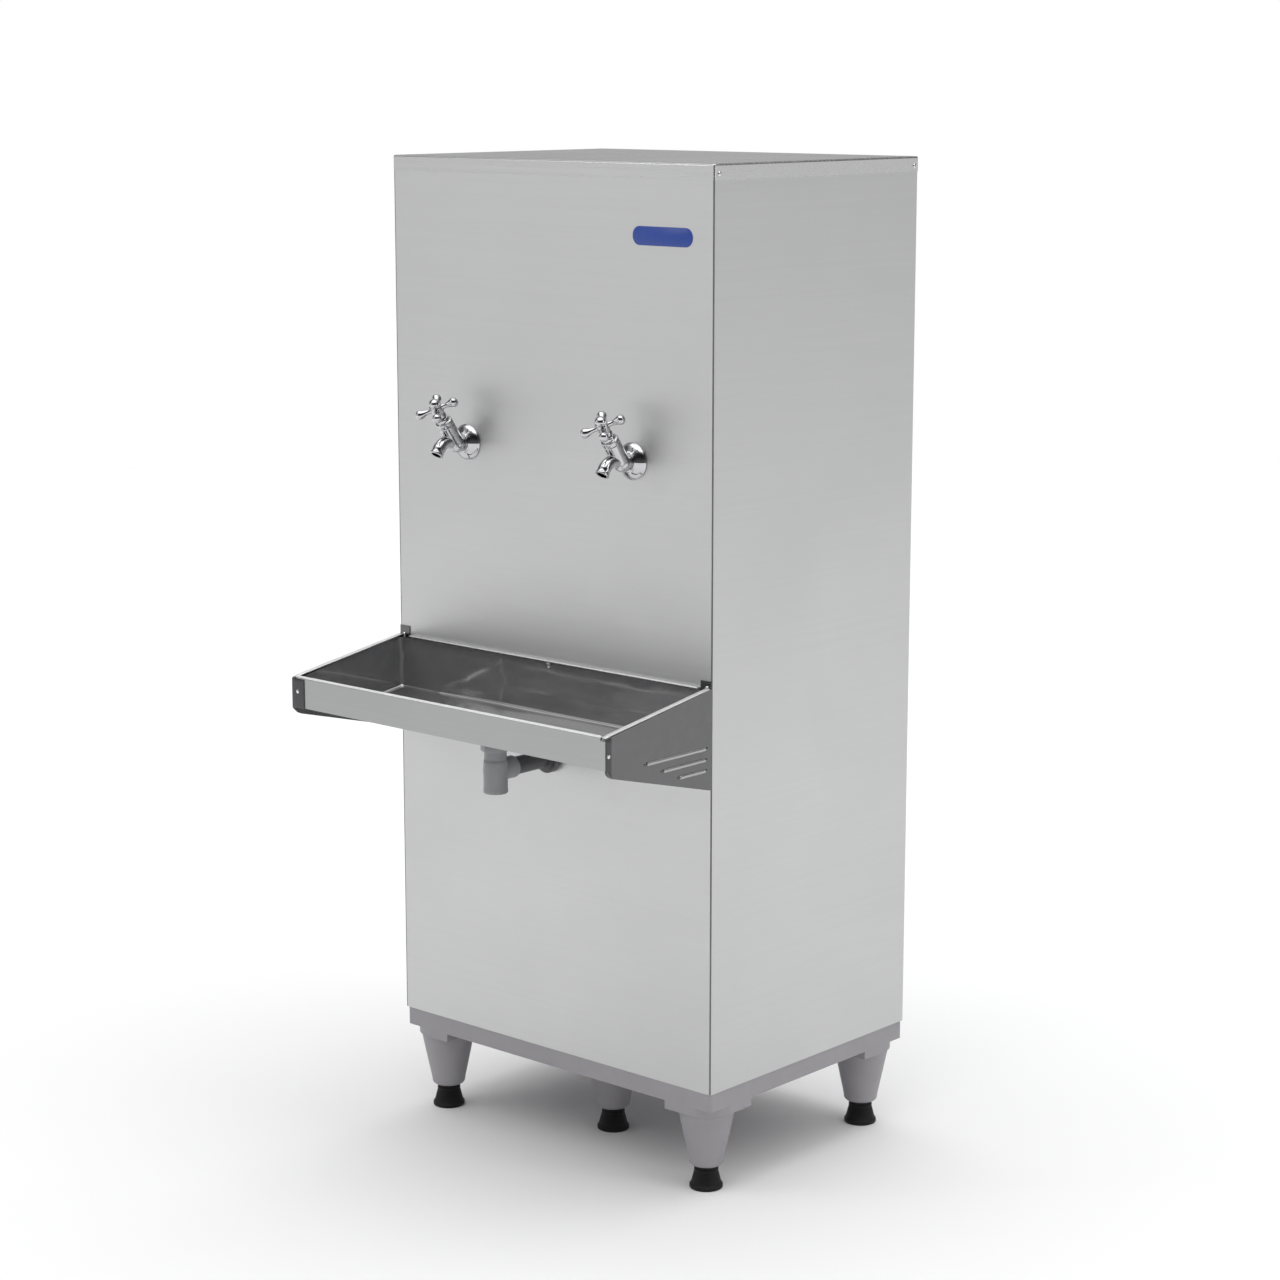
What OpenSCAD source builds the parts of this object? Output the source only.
// Floor-standing drinking fountain with two taps and a waste tray.
// Millimetres. +Z up, the front faces -Y, the origin is on the floor at the centre of the outline.

/* [Cabinet] */
// Width of the steel cabinet
cab_w = 590; // [584:2:600]
// Depth of the steel cabinet
cab_d = 435; // [430:1:445]
// Total height from floor to lid
total_h = 1400; // [1390:2:1420]
// Height of the folded edge of the lid
cap_h = 21; // [18:1:26]
// Sheet thickness of the cabinet
sheet = 1; // [0.8:0.1:1.2]

/* [Base and legs] */
// Height of the lower edge of the steel above the floor
steel_z = 153; // [150:1:156]
// Height of the moulded base rail
rail_h = 26; // [22:1:30]
// Height of the rubber foot
foot_h = 34; // [30:1:36]
// Leg radius at the top
leg_r_top = 40; // [36:1:42]
// Leg radius at the bottom
leg_r_bot = 24.5; // [22:0.5:26]
// Distance of the corner legs from the cabinet faces
leg_in = 43; // [42:1:50]
// Distance of the middle leg from the front face
mid_leg_in = 130; // [120:1:150]

/* [Tray] */
// Reach of the tray in front of the cabinet
tray_reach = 210.5; // [205:0.5:216]
// Height of the upper edge of the tray at the cabinet
tray_top_z = 716; // [712:1:724]
// Height of the upper edge of the tray front
tray_front_z = 684; // [680:1:688]

/* [Taps] */
// Height of the tap shanks
tap_z = 1006; // [980:1:1020]
// Distance of each tap from the middle
tap_x = 155; // [140:1:170]
// Forward tilt of the tap bonnet
tap_tilt = 35; // [30:1:38]
// Turn of the cross handle about its spindle
handle_turn = 40; // [0:0.5:89]

/* [Hidden] */
$fn = 48;
rear_out = 30;                     // how far the rear fittings stand out
tray_out = tray_reach + 2.5;       // tray reach with its rivet heads
yf = -(tray_out + cab_d + rear_out)/2 + tray_out;   // front face of the cabinet
yr = yf + cab_d;                   // rear face
yc = yf + cab_d/2 + 4;             // tank axis
hw = cab_w/2;
rail_z = steel_z - rail_h;
block_z = rail_z - 12;
ft = yf - tray_reach;              // front plane of the tray panel
tank_r = 165;
tank_z0 = 700;
tank_z1 = 1290;
fan_x = 70;
fan_z = 320;
legs = [[-hw + leg_in, yf + leg_in], [hw - leg_in, yf + leg_in],
        [-hw + leg_in, yr - leg_in], [hw - leg_in, yr - leg_in], [0, yf + mid_leg_in]];
tray_c = yf - 108;                 // drain axis in the tray

steel = [0.74, 0.75, 0.76];
mirror_steel = [0.36, 0.37, 0.38];
chrome = [0.82, 0.83, 0.85];
grey_plastic = [0.58, 0.57, 0.59];
pvc = [0.60, 0.61, 0.62];

// ---------- helpers ----------
module box(x0, x1, y0, y1, z0, z1) { translate([x0, y0, z0]) cube([x1 - x0, y1 - y0, z1 - z0]); }
// rod from a point in the direction given by a rotation
module rod(p, rot, r, h) { translate(p) rotate(rot) cylinder(r = r, h = h); }
module rounded_rect(x, y, r) {
  union() {
    square([x - 2*r, y], center = true);
    square([x, y - 2*r], center = true);
    for (i = [-1, 1], j = [-1, 1]) translate([i*(x/2 - r), j*(y/2 - r)]) circle(r);
  }
}

// ---------- base ----------
module base_frame() color(grey_plastic) {
  w = cab_w - 2;
  d = cab_d - 2;
  ym = (yf + yr)/2;
  difference() {
    union() {
      // perimeter rail with the floor plate
      translate([0, ym, rail_z]) linear_extrude(rail_h) rounded_rect(w, d, 6);
      // corner blocks that carry the legs
      for (i = [-1, 1], j = [-1, 1])
        translate([i*w/2, ym + j*d/2, block_z]) linear_extrude(14) mirror([i > 0 ? 1 : 0, 0]) mirror([0, j > 0 ? 1 : 0]) union() {
          // outer corner rounded about the leg axis
          translate([leg_in - 1, leg_in - 1]) circle(r = leg_in - 1);
          translate([leg_in - 1, 0]) square([83 - leg_in, 88]);
          translate([0, leg_in - 1]) square([leg_in, 89 - leg_in]);
        }
      // locating lip inside the steel skin
      difference() {
        box(-hw + 1.4, hw - 1.4, yf + 2.4, yr - 2.4, steel_z - 1, steel_z + 14);
        box(-hw + 4.4, hw - 4.4, yf + 5.4, yr - 5.4, steel_z - 2, steel_z + 15);
      }
    }
    // hollow underside
    difference() {
      box(-w/2 + 20, w/2 - 20, ym - d/2 + 20, ym + d/2 - 20, rail_z - 1, steel_z - 8);
      for (i = [-1, 1], j = [-1, 1])
        box(min(i*(w/2), i*(w/2 - 90)), max(i*(w/2), i*(w/2 - 90)), min(ym + j*d/2, ym + j*(d/2 - 90)), max(ym + j*d/2, ym + j*(d/2 - 90)), rail_z - 2, steel_z);
      // cross ribs and the pad of the middle leg
      box(-4, 4, ym - d/2, ym + d/2, rail_z + 4, steel_z);
      box(-w/2, w/2, yf + mid_leg_in - 4, yf + mid_leg_in + 4, rail_z + 4, steel_z);
      box(-w/2, w/2, ym + 60, ym + 68, rail_z + 4, steel_z);
      box(-44, 44, yf + mid_leg_in - 44, yf + mid_leg_in + 44, rail_z - 2, steel_z);
    }
    // sockets for the foot studs
    for (p = legs) translate([p[0], p[1], block_z - 1]) cylinder(r = 8, h = 22);
  }
}

module leg(p, top) {
  difference() {
    translate([p[0], p[1], 0]) union() {
      rotate_extrude() polygon([[0, foot_h + 0.3], [leg_r_bot - 5, foot_h + 0.3], [leg_r_bot - 2.2, foot_h + 1.2],
        [leg_r_bot - 0.5, foot_h + 3.4], [leg_r_bot, foot_h + 6], [leg_r_top - 1.2, block_z - 2.5], [leg_r_top, block_z - 2.5], [leg_r_top, top], [0, top]]);
    }
    translate([p[0], p[1], foot_h - 1]) cylinder(r = 5.05, h = 70);
  }
}
module leg_front_left() color(grey_plastic) leg(legs[0], block_z);
module leg_front_right() color(grey_plastic) leg(legs[1], block_z);
module leg_rear_left() color(grey_plastic) leg(legs[2], block_z);
module leg_rear_right() color(grey_plastic) leg(legs[3], block_z);
module leg_middle() color(grey_plastic) leg(legs[4], rail_z);

module foot(p) translate([p[0], p[1], 0]) {
  rotate_extrude() polygon([[0, 0], [22.2, 0], [23.2, 1], [23.3, 5], [22.4, 6.5], [19.2, 16], [16.8, 25], [16, 27], [16, foot_h], [0, foot_h]]);
  translate([0, 0, foot_h - 4]) cylinder(r = 5, h = 54);
}
module foot_front_left() color([0.05, 0.05, 0.05]) foot(legs[0]);
module foot_front_right() color([0.05, 0.05, 0.05]) foot(legs[1]);
module foot_rear_left() color([0.05, 0.05, 0.05]) foot(legs[2]);
module foot_rear_right() color([0.05, 0.05, 0.05]) foot(legs[3]);
module foot_middle() color([0.05, 0.05, 0.05]) foot(legs[4]);

// ---------- cabinet ----------
module top_cap() color(steel) difference() {
  o = 1;
  hull() for (x = [-hw - o + 3, hw + o - 3], y = [yf - o + 3, yr + o - 3]) {
    translate([x, y, total_h - cap_h]) cylinder(r = 3, h = 5, $fn = 32);
    translate([x, y, total_h - 3]) sphere(r = 3, $fn = 32);
  }
  box(-hw - 0.1, hw + 0.1, yf - 0.1, yr + 0.1, total_h - cap_h - 1, total_h - 1.2);
}

module front_panel() color(steel) difference() {
  box(-hw + 2, hw - 2, yf, yf + sheet, steel_z, total_h - 2);
  for (i = [-1, 1]) rod([i*tap_x, yf + 3, tap_z], [90, 0, 0], 11.2, 6);
  rod([0, yf + 3, 578], [90, 0, 0], 13, 6);
}

module side_panel(s) {
  // outer skin with front and rear returns
  mirror([s < 0 ? 1 : 0, 0, 0]) union() {
    box(hw - sheet, hw, yf + sheet, yr - sheet, steel_z, total_h - 2);
    box(hw - 26, hw - 0.5, yf + sheet, yf + 2*sheet, steel_z, total_h - 2);
    box(hw - 26, hw - 0.5, yr - 2*sheet, yr - sheet, steel_z, total_h - 2);
  }
}
module side_panel_left() color(steel) side_panel(-1);
module side_panel_right() color(steel) side_panel(1);

module rear_panel_upper() color([0.62, 0.63, 0.64]) difference() {
  box(-hw + 2, hw - 2, yr - sheet, yr, 560, total_h - 2);
  rod([-200, yr + 3, 1345], [90, 0, 0], 10.8, 6);
}
module rear_grille() color([0.62, 0.63, 0.64]) difference() {
  box(-hw + 2, hw - 2, yr - sheet, yr, steel_z, 559);
  // ventilation slots in two columns
  for (k = [0 : 15]) for (i = [-1, 1]) box(fan_x - 60 + i*64 - 56, fan_x - 60 + i*64 + 56, yr - 3, yr + 2, 205 + k*18, 212 + k*18);
  rod([-240, yr + 3, 190], [90, 0, 0], 8.2, 6);
  rod([-220, yr + 3, 500], [90, 0, 0], 5.3, 6);
}

// pan-head screw: axis along +z of its own frame
module screw(r) { rotate_extrude() polygon([[0, 0], [r, 0], [r, 0.6], [r*0.82, 1.3], [r*0.5, 1.7], [0, 1.8]]); }
module cabinet_screws() color(chrome) {
  for (s = [-1, 1], y = [yf + 9, yr - 9])
    translate([s*(hw + 1), y, total_h - 13]) rotate([0, s*90, 0]) screw(3.2);
  for (x = [-hw + 14, hw - 14], z = [175, 370, 545, 575, 980, 1365])
    translate([x, yr, z]) rotate([-90, 0, 0]) screw(3.6);
}

// ---------- tray ----------
floor_back = 640;
floor_mid = 628;
module tray_profile(t) {
  // basin section in depth and height
  polygon([[yf - 0.6, tray_top_z - 1], [yf - 0.6, floor_back - t], [tray_c + 20, floor_mid - t], [tray_c - 20, floor_mid - t], [ft + 1.4, floor_back + 2 - t],
           [ft + 1.4, tray_front_z - 3], [ft + 1.4 + t, tray_front_z - 3], [ft + 1.4 + t, floor_back + 2], [tray_c - 20, floor_mid], [tray_c + 20, floor_mid],
           [yf - 0.6 - t, floor_back], [yf - 0.6 - t, tray_top_z - 1]]);
}
module along_x(x0, x1) { translate([x0, 0, 0]) rotate([90, 0, 90]) linear_extrude(x1 - x0) children(); }
module tray_basin() color(mirror_steel) difference() {
  union() {
    along_x(-hw + 2.6, hw - 2.6) tray_profile(1.2);
    for (s = [-1, 1]) along_x(s < 0 ? -hw + 1.6 : hw - 2.6, s < 0 ? -hw + 2.6 : hw - 1.6)
      polygon([[yf - 0.6, tray_top_z - 3.6], [yf - 0.6, floor_back - 1.2], [tray_c + 20, floor_mid - 1.2], [tray_c - 20, floor_mid - 1.2], [ft + 1.4, floor_back + 0.8], [ft + 1.4, tray_front_z - 3.6]]);
    // folded rear rim
    box(-hw + 21, hw - 21, yf - 6, yf - 0.6, tray_top_z - 1.6, tray_top_z);
  }
  translate([0, tray_c, floor_mid - 5]) cylinder(r = 14.2, h = 10);
  // corner notches for the ears
  for (s = [-1, 1]) box(s < 0 ? -hw : hw - 21, s < 0 ? -hw + 21 : hw, yf - 9, yf + 1, tray_top_z - 4.5, tray_top_z + 2);
}
module tray_front_panel() color(steel) difference() {
  union() {
    box(-hw + 1.6, hw, ft, ft + 1.2, tray_front_z - 42, tray_front_z);
    // rolled upper rim
    rod([-hw + 1.6, ft + 1.6, tray_front_z - 0.4], [0, 90, 0], 1.6, cab_w - 3.2);
  }
  for (s = [-1, 1]) box(s < 0 ? -hw - 1 : hw - 7.4, s < 0 ? -hw + 7.4 : hw + 1, ft - 1, ft + 5, tray_front_z - 3.4, tray_front_z + 4);
}
module tray_side(s) mirror([s < 0 ? 1 : 0, 0, 0]) {
  slope = atan2(tray_top_z - tray_front_z + 1.2, tray_reach - 0.6);
  fe = s < 0 ? ft - 1.2 : ft + 1.3;      // front edge of the plate
  union() {
    along_x(hw - 1.5, hw) polygon([[yf, 578], [yf, tray_top_z], [ft + 1.4, tray_front_z - 1.2], [fe, tray_front_z - 1.2], [fe, 640.5], [ft + 2.5, 636.5], [ft + 7, 632.3], [ft + 13.5, 629.5]]);
    // front return that wraps round the tray front on the left
    if (s < 0) along_x(hw - 24, hw - 0.8) polygon([[ft - 1.3, 641.5], [ft - 1.3, tray_front_z - 2], [ft - 0.1, tray_front_z - 2], [ft - 0.1, 641.5]]);
    // hemmed front edge
    along_x(hw - 0.7, hw + 0.5) polygon([[fe + 0.4, tray_front_z - 3], [ft + 13.2, tray_front_z - 1], [ft + 13.2, 631], [ft + 7.2, 633.4], [ft + 3, 637.4], [fe + 0.4, 642]]);
    // rear return against the cabinet
    box(hw - 20, hw - 0.4, yf - 0.5, yf, 590, tray_top_z - 2);
    // ear above the rear rim
    box(hw - 19, hw, yf - 1.2, yf, tray_top_z - 4, tray_top_z + (s < 0 ? 13 : 9.5));
    // folded upper rim with its rounded edge
    translate([hw - 7, fe + 0.2, tray_front_z - 1.4]) rotate([slope, 0, 0]) cube([6.2, (yf - fe - 6)/cos(slope), 1.3]);
    translate([hw - 1.7, fe + 0.7, tray_front_z - 1.5]) rotate([slope - 90, 0, 0]) cylinder(r = 1.6, h = (yf - fe - 2.6)/cos(slope));
    // pressed stiffening beads
    for (b = [[637, 11, 133], [622, 12, 100], [607.5, 12, 67]]) intersection() {
      union() {
        rod([hw - 0.6, yf - b[1], b[0]], [90, 0, 0], 2.4, b[2] - b[1]);
        translate([hw - 0.6, yf - b[1], b[0]]) sphere(2.4);
        translate([hw - 0.6, yf - b[2], b[0]]) sphere(2.4);
      }
      box(hw - 1.2, hw + 5, yf - 200, yf, 590, 650);
    }
  }
}
module tray_side_left() color(mirror_steel) tray_side(-1);
module tray_side_right() color(mirror_steel) tray_side(1);
module tray_fixings() color(chrome) {
  translate([-hw + 12, ft - 1.3, 665]) rotate([90, 0, 0]) rivet(1.2);
  for (s = [-1, 1]) translate([s*(hw + 0.5), ft + 6.5, 660]) rotate([0, s*90, 0]) rivet();
  for (s = [-1, 1]) translate([s*(hw - 7.5), yf - 1.2, tray_top_z - 0.5]) rotate([90, 0, 0]) screw(3.6);
  translate([0, yf - 1.8, tray_top_z - 7]) rotate([90, 0, 0]) screw(4);
}
module rivet(h = 1.3) { rotate_extrude() polygon([[0, 0], [2.9, 0], [2.7, 0.54*h], [1.9, 0.85*h], [0.8, h], [0, h]]); }
module drain_strainer() color(chrome) difference() {
  union() {
    translate([0, tray_c, floor_mid]) cylinder(r = 20, h = 1.2);
    translate([0, tray_c, floor_mid - 24]) cylinder(r = 13.8, h = 24.6);
  }
  translate([0, tray_c, floor_mid - 25]) cylinder(r = 11.5, h = 24);
  for (a = [0 : 60 : 300]) translate([7*cos(a), tray_c + 7*sin(a), floor_mid - 3]) cylinder(r = 2.1, h = 6);
  translate([0, tray_c, floor_mid - 3]) cylinder(r = 2.1, h = 6);
}

// ---------- waste ----------
module drain_tee() color(pvc) difference() {
  union() {
    translate([0, tray_c, 547]) cylinder(r = 17, h = 47);
    translate([0, tray_c, 594]) cylinder(r = 15.4, h = 32.6);
    translate([0, tray_c, 606]) cylinder(r = 21, h = 10, $fn = 8);
    rod([0, tray_c, 578], [-90, 0, 0], 15.5, 34);
  }
  translate([0, tray_c, 600]) cylinder(r = 13.9, h = 30);
  translate([0, tray_c, 560]) cylinder(r = 10, h = 50);
  translate([0, tray_c, 546]) cylinder(r = 12.55, h = 21);
  rod([0, tray_c, 578], [-90, 0, 0], 9, 20);
  rod([0, tray_c + 18, 578], [-90, 0, 0], 12.55, 20);
}
module drain_branch_pipe() color([0.34, 0.34, 0.35]) difference() {
  union() {
    rod([0, tray_c + 18.2, 578], [-90, 0, 0], 12.45, 108 + 30);
    // collar against the cabinet face
    rod([0, yf - 9, 578], [-90, 0, 0], 21, 9);
    rod([0, yf - 16, 578], [-90, 0, 0], 16.5, 8);
    // elbow inside the cabinet
    translate([0, yf + 48, 578]) rotate([0, 0, 0]) cylinder(r = 15, h = 30);
    translate([0, yf + 48, 578]) sphere(15);
  }
  rod([0, tray_c + 17, 578], [-90, 0, 0], 10, 108 + 35);
  translate([0, yf + 48, 578]) cylinder(r = 10, h = 40);
}

// ---------- taps ----------
module on_tap(s) { translate([s*tap_x, yf, tap_z]) children(); }
module on_bonnet(s) { translate([s*tap_x, yf - 23, tap_z]) rotate([tap_tilt, 0, 0]) children(); }
module tap_flange(s) on_tap(s) difference() {
  rotate([90, 0, 0]) rotate_extrude($fn = 64) polygon([[0, 0], [25, 0], [25.3, 1.2], [24.8, 2.6], [23.4, 4.0], [21.6, 5.8], [19, 7.8], [16.4, 9.5], [14.2, 10.8], [13.2, 12], [0, 12]]);
  rod([0, 3, 0], [90, 0, 0], 10.6, 20);
}
module spout_path(r, lead, tip) {
  rod([0, -20 + lead, 4], [90, 0, 0], r - 0.02, 18 + lead);
  translate([0, -38, -18]) rotate([0, 90, 0]) rotate([0, 0, 180]) rotate_extrude(angle = 55) translate([22, 0]) circle(r);
  translate([0, -38 - 22*sin(55), -18 + 22*cos(55)]) rotate([145, 0, 0]) cylinder(r = r - 0.02, h = tip);
}
module tap_body(s) difference() {
  union() {
    on_tap(s) {
      rod([0, 45, 0], [90, 0, 0], 10.4, 58);
      rod([0, -12.2, 0], [90, 0, 0], 11.8, 8);
      translate([0, -21, 0]) sphere(12.8);
      spout_path(9, 0, 9);
      translate([0, -38 - 22*sin(55), -18 + 22*cos(55)]) rotate([145, 0, 0]) translate([0, 0, 6]) cylinder(r = 9.8, h = 3);
    }
    on_bonnet(s) {
      translate([0, 0, 1]) cylinder(r = 12.1, h = 33);
    }
  }
  on_tap(s) { rod([0, 46, 0], [90, 0, 0], 5.5, 58); rod([0, -8, -2], [90, 0, 0], 3, 12); spout_path(6.4, -8, 12); }
  on_bonnet(s) { cylinder(r = 8.8, h = 40); translate([0, 0, -6]) cylinder(r = 5, h = 10); }
}
module tap_bonnet(s) on_bonnet(s) difference() {
  union() {
    translate([0, 0, 28]) cylinder(r = 8.6, h = 7);
    translate([0, 0, 34]) rotate_extrude() polygon([[0, 0], [11.7, 0], [12.2, 0.6], [12.2, 6.2], [11.4, 7.2], [9.8, 7.6], [8.9, 9], [8.6, 10.6], [7.8, 12.2], [7, 12.8], [0, 12.8]]);
  }
  translate([0, 0, 20]) cylinder(r = 4.05, h = 50);
}
module tap_jumper(s) on_bonnet(s) union() {
  translate([0, 0, 0.3]) cylinder(r = 7.6, h = 3);
  translate([0, 0, 3]) cylinder(r = 5, h = 2.4);
}
module tap_stem(s) on_bonnet(s) union() {
  translate([0, 0, 5.8]) cylinder(r = 6.6, h = 5);
  translate([0, 0, 5.8]) cylinder(r = 4, h = 54);
}
module tap_handle(s) on_bonnet(s) rotate([0, 0, handle_turn]) difference() {
  union() {
    translate([0, 0, 47.6]) rotate_extrude() polygon([[0, 0], [6.6, 0], [7.4, 1.2], [7.8, 3.6], [7.2, 7], [8, 9.6], [8.6, 12], [8.6, 18.6], [7.6, 20.6], [0, 20.6]]);
    for (a = [0 : 90 : 270]) rotate([0, 0, a]) translate([0, 0, 63]) rotate([0, 90, 0]) {
      rotate_extrude() polygon([[0, 4], [4.1, 4], [3.7, 9], [3.4, 13], [3.9, 16.5], [5.2, 20], [6.4, 23], [6.8, 25.4], [6.4, 27.9], [4.9, 30], [2.7, 31.2], [0, 31.7]]);
    }
  }
  translate([0, 0, 43]) cylinder(r = 4.02, h = 17);
}
module tap_index_cap(s) on_bonnet(s) union() {
  translate([0, 0, 68.2]) cylinder(r = 8.9, h = 2.2);
  intersection() {
    translate([0, 0, 69]) sphere(9.1);
    translate([0, 0, 70]) cylinder(r = 8, h = 12);
  }
}
module tap_left_flange() color(chrome) tap_flange(-1);
module tap_right_flange() color(chrome) tap_flange(1);
module tap_left_body() color(chrome) tap_body(-1);
module tap_right_body() color(chrome) tap_body(1);
module tap_left_bonnet() color(chrome) tap_bonnet(-1);
module tap_right_bonnet() color(chrome) tap_bonnet(1);
module tap_left_jumper() color([0.12, 0.12, 0.12]) tap_jumper(-1);
module tap_right_jumper() color([0.12, 0.12, 0.12]) tap_jumper(1);
module tap_left_stem() color([0.72, 0.58, 0.3]) tap_stem(-1);
module tap_right_stem() color([0.72, 0.58, 0.3]) tap_stem(1);
module tap_left_handle() color(chrome) tap_handle(-1);
module tap_right_handle() color(chrome) tap_handle(1);
module tap_left_index_cap() color(chrome) tap_index_cap(-1);
module tap_right_index_cap() color(chrome) tap_index_cap(1);
module tap_shank_nuts() color([0.72, 0.58, 0.3]) for (s = [-1, 1]) on_tap(s) difference() {
  union() { rod([0, sheet, 0], [-90, 0, 0], 17, 1.6); translate([0, sheet + 1.6, 0]) rotate([-90, 0, 0]) cylinder(r = 15.6, h = 8, $fn = 6); }
  rod([0, 0, 0], [-90, 0, 0], 10.45, 20);
}
module tap_feed_pipes() color([0.85, 0.86, 0.88]) for (s = [-1, 1]) difference() {
  union() {
    translate([s*tap_x, yf + 34, tap_z]) sphere(13.4);
    rod([s*tap_x, yf + 22, tap_z], [-90, 0, 0], 13.4, 12);
    rod([s*tap_x, yf + 34, tap_z], [180, 0, 0], 6, tap_z - 680);
    translate([s*tap_x, yf + 34, 680]) sphere(6);
    rod([s*tap_x, yf + 34, 680], [0, -s*90, 0], 6, tap_x - 86);
  }
  rod([s*tap_x, yf + 20, tap_z], [-90, 0, 0], 10.5, 26);
}

// ---------- inside ----------
module tank_shelf() color([0.6, 0.61, 0.62]) difference() {
  union() {
    box(-hw + 1.3, hw - 1.3, yf + 60, yr - 8, 640, 641.2);
    for (s = [-1, 1]) box(s < 0 ? -hw + 1.3 : hw - 2.5, s < 0 ? -hw + 2.5 : hw - 1.3, yf + 60, yr - 8, 612, 641.2);
    box(-hw + 1.3, hw - 1.3, yf + 60, yf + 61.2, 622, 641.2);
    box(-hw + 1.3, hw - 1.3, yr - 9.2, yr - 8, 622, 641.2);
  }
  translate([0, yc, 630]) cylinder(r = 24, h = 20);
}
module water_tank() color(steel) difference() {
  translate([0, yc, tank_z0]) cylinder(r = tank_r, h = tank_z1 - tank_z0, $fn = 96);
  translate([0, yc, tank_z0 + 1.2]) cylinder(r = tank_r - 1.2, h = tank_z1, $fn = 96);
}
module tank_insulation() color([0.93, 0.93, 0.9]) difference() {
  translate([0, yc, 641.2]) cylinder(r = 199, h = tank_z1 - 641.2, $fn = 96);
  translate([0, yc, tank_z0 - 0.4]) cylinder(r = tank_r + 11, h = tank_z1, $fn = 96);
  translate([0, yc, 640]) cylinder(r = 20, h = 70);
}
module tank_lid() color([0.9, 0.9, 0.9]) difference() {
  union() {
    translate([0, yc, tank_z1 + 0.3]) cylinder(r = 199, h = 12, $fn = 96);
    translate([0, yc, tank_z1 - 8]) cylinder(r = tank_r - 2, h = 9, $fn = 96);
  }
  translate([0, yc, tank_z1 - 9]) cylinder(r = tank_r - 5, h = 9, $fn = 96);
  translate([0, yc + 118, tank_z1 - 5]) cylinder(r = 8, h = 30);
}
module evaporator_coil() color([0.75, 0.43, 0.27]) for (k = [0 : 9])
  translate([0, yc, 740 + k*26]) rotate_extrude($fn = 96) translate([tank_r + 5.4, 0]) circle(4.8, $fn = 24);
fv_y = yc + 118;
module float_valve_body() color([0.72, 0.58, 0.3]) difference() {
  union() {
    translate([0, fv_y, tank_z1 - 30]) cylinder(r = 7.6, h = 52);
    translate([0, fv_y, tank_z1 - 30]) sphere(9);
    for (s = [-1, 1]) box(s < 0 ? -7.5 : 4.5, s < 0 ? -4.5 : 7.5, fv_y - 22, fv_y, tank_z1 - 36, tank_z1 - 24);
  }
  rod([-10, fv_y - 17, tank_z1 - 30], [0, 90, 0], 2.05, 20);
  translate([0, fv_y, tank_z1 - 20]) cylinder(r = 4, h = 50);
}
module float_arm() color([0.72, 0.58, 0.3]) {
  translate([0, fv_y - 17, tank_z1 - 30]) rotate([30, 0, 0]) union() {
    rod([-9, 0, 0], [0, 90, 0], 2, 18);
    rod([0, 4, 0], [90, 0, 0], 3.2, 92);
    translate([0, -118, 0]) sphere(33);
  }
}
module water_inlet() color([0.72, 0.58, 0.3]) difference() {
  union() {
    rod([-200, yr + 12, 1345], [-90, 0, 0], 10.48, 18);
    translate([-200, yr, 1345]) rotate([-90, 0, 0]) cylinder(r = 16, h = 12, $fn = 6);
    rod([-200, yr + 2, 1345], [90, 0, 0], 10.48, 24);
    translate([-200, yr - 1.2, 1345]) rotate([90, 0, 0]) cylinder(r = 16, h = 8, $fn = 6);
    // supply pipe to the float valve
    rod([-200, yr - 20, 1345], [90, 0, 0], 6, yr - 20 - fv_y);
    translate([-200, fv_y, 1345]) sphere(6);
    rod([-200, fv_y, 1345], [0, 90, 0], 6, 200);
    translate([0, fv_y, 1345]) sphere(6);
    translate([0, fv_y, 1320]) cylinder(r = 6, h = 25);
    translate([0, fv_y, 1308]) cylinder(r = 11, h = 14);
  }
  rod([-200, yr + 31, 1345], [90, 0, 0], 7, 28);
  translate([0, fv_y, 1300]) cylinder(r = 7.7, h = 12);
}
cx = -150;
cy = 110;
module compressor() color([0.06, 0.06, 0.07]) {
  translate([cx, cy, 171]) rotate_extrude($fn = 64) polygon([[0, 0], [46, 0], [58, 4], [65, 12], [67, 22], [67, 70], [68.5, 71], [68.5, 75], [67, 76], [67, 112], [63, 128], [54, 140], [38, 149], [18, 154], [0, 155]]);
  box(cx - 80, cx + 80, cy - 60, cy - 36, 169, 172);
  box(cx - 80, cx + 80, cy + 36, cy + 60, 169, 172);
  box(cx - 60, cx - 36, cy - 50, cy + 50, 169, 172);
  box(cx + 36, cx + 60, cy - 50, cy + 50, 169, 172);
}
module compressor_grommets() color([0.08, 0.08, 0.08]) for (i = [-1, 1], j = [-1, 1])
  translate([cx + i*68, cy + j*48, 153]) rotate_extrude() polygon([[0, 0], [11, 0], [11, 5], [8, 6], [8, 9], [11, 10], [11, 16], [0, 16]]);
module terminal_box() color([0.1, 0.1, 0.1]) box(cx - 26, cx + 26, cy - 96, cy - 69, 205, 262);
module condenser() color([0.72, 0.73, 0.74]) {
  y0 = yr - 66;
  for (k = [0 : 21]) box(fan_x - 115 + k*11 - 0.5, fan_x - 115 + k*11 + 0.5, y0, y0 + 44, fan_z - 110, fan_z + 110);
  box(fan_x - 124, fan_x - 121, y0, y0 + 44, fan_z - 167, fan_z + 112);
  box(fan_x + 121, fan_x + 124, y0, y0 + 44, fan_z - 167, fan_z + 112);
  for (k = [0 : 6], j = [0, 1]) rod([fan_x - 128, y0 + 12 + j*20, fan_z - 96 + k*32], [0, 90, 0], 4.2, 256);
}
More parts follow.
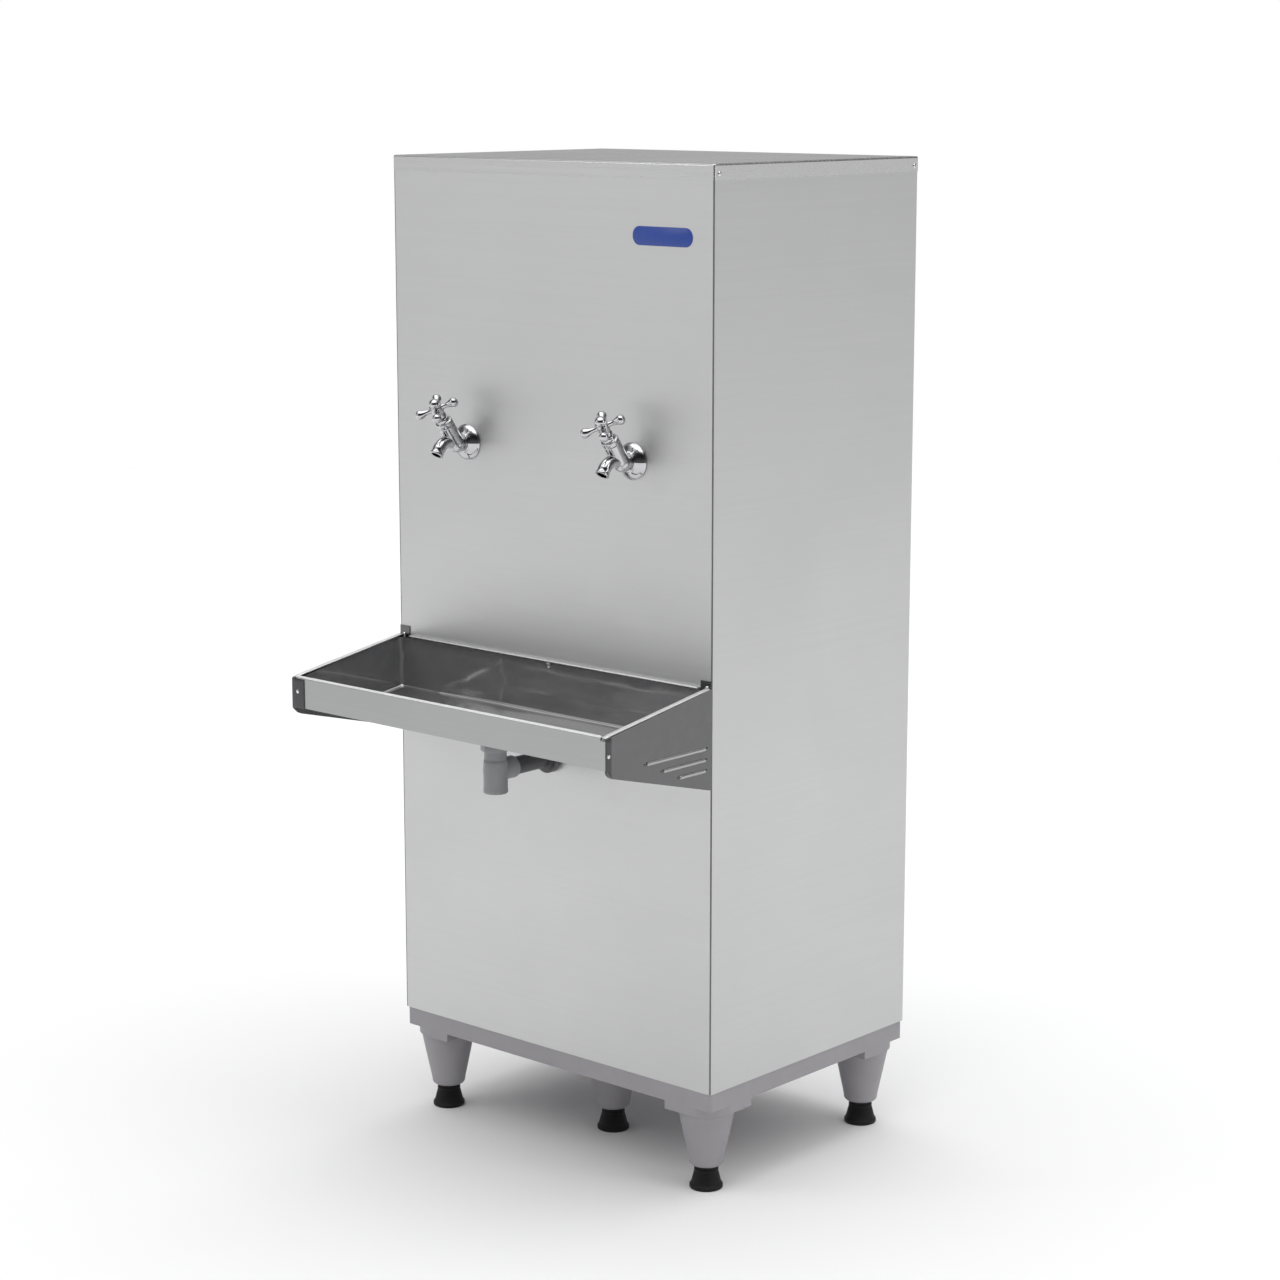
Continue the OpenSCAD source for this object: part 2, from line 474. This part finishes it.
module fan_shroud() color([0.5, 0.51, 0.52]) {
  y1 = yr - 68;
  difference() {
    union() {
      box(fan_x - 122, fan_x + 122, y1 - 1.2, y1, fan_z - 110, fan_z + 110);
      rod([fan_x, y1, fan_z], [90, 0, 0], 104.5, 26);
    }
    rod([fan_x, y1 + 2, fan_z], [90, 0, 0], 103, 40);
  }
  // three-arm motor bracket
  for (a = [90, 210, 330]) translate([fan_x, y1 - 57, fan_z]) rotate([0, -a, 0]) translate([24, 0, -6]) cube([80, 2, 12]);
  for (a = [90, 210, 330]) translate([fan_x, y1 - 57, fan_z]) rotate([0, -a, 0]) translate([103, 0, -6]) cube([1.5, 32, 12]);
}
module fan_motor() color([0.2, 0.2, 0.21]) {
  y1 = yr - 68;
  rod([fan_x, y1 - 45, fan_z], [90, 0, 0], 20, 13);
  rod([fan_x, y1 - 57.2, fan_z], [90, 0, 0], 36, 36);
  rod([fan_x, y1 - 26, fan_z], [90, 0, 0], 4, 28);
}
module fan_blade() color([0.78, 0.79, 0.8]) {
  y1 = yr - 68;
  translate([fan_x, y1 - 14, fan_z]) rotate([90, 0, 0]) {
    difference() { cylinder(r = 22, h = 24); translate([0, 0, 10]) cylinder(r = 4.05, h = 20); }
    for (a = [0 : 72 : 288]) rotate([0, 0, a]) translate([20, 0, 12]) rotate([28, 0, 0]) translate([0, -17, -0.8]) cube([76, 34, 1.6]);
  }
}
module thermostat() color([0.15, 0.15, 0.16]) union() {
  box(-245, -195, yr - 41, yr - 1.2, 478, 522);
  rod([-220, yr - 2, 500], [-90, 0, 0], 5.2, 3.6);
  rod([-220, yr - 2, 500], [-90, 0, 0], 3, 12);
}
module thermostat_knob() color([0.1, 0.1, 0.1]) difference() {
  union() {
    translate([-220, yr + 2, 500]) rotate([-90, 0, 0]) cylinder(r = 15, h = 3);
    translate([-220, yr + 5, 500]) rotate([-90, 0, 0]) cylinder(r1 = 13.5, r2 = 12, h = 12);
    box(-221.2, -218.8, yr + 5, yr + 18, 502, 513);
  }
  rod([-220, yr, 500], [-90, 0, 0], 3.05, 11);
}
module cord_gland() color([0.08, 0.08, 0.08]) difference() {
  union() {
    translate([-240, yr, 190]) rotate([-90, 0, 0]) cylinder(r = 11.5, h = 7, $fn = 6);
    rod([-240, yr + 7, 190], [-90, 0, 0], 8.6, 7);
    rod([-240, yr + 1, 190], [90, 0, 0], 8, 14);
    translate([-240, yr - 1.2, 190]) rotate([90, 0, 0]) cylinder(r = 11.5, h = 5, $fn = 6);
  }
  rod([-240, yr + 20, 190], [90, 0, 0], 4, 50);
}

base_frame();
leg_front_left();
leg_front_right();
leg_rear_left();
leg_rear_right();
leg_middle();
foot_front_left();
foot_front_right();
foot_rear_left();
foot_rear_right();
foot_middle();
top_cap();
front_panel();
side_panel_left();
side_panel_right();
rear_panel_upper();
rear_grille();
cabinet_screws();
tray_basin();
tray_front_panel();
tray_side_left();
tray_side_right();
tray_fixings();
drain_strainer();
drain_tee();
drain_branch_pipe();
tap_left_flange();
tap_left_body();
tap_left_bonnet();
tap_left_jumper();
tap_left_stem();
tap_left_handle();
tap_left_index_cap();
tap_right_flange();
tap_right_body();
tap_right_bonnet();
tap_right_jumper();
tap_right_stem();
tap_right_handle();
tap_right_index_cap();
tap_shank_nuts();
tap_feed_pipes();
tank_shelf();
water_tank();
tank_insulation();
tank_lid();
evaporator_coil();
float_valve_body();
float_arm();
water_inlet();
compressor();
compressor_grommets();
terminal_box();
condenser();
fan_shroud();
fan_motor();
fan_blade();
thermostat();
thermostat_knob();
cord_gland();
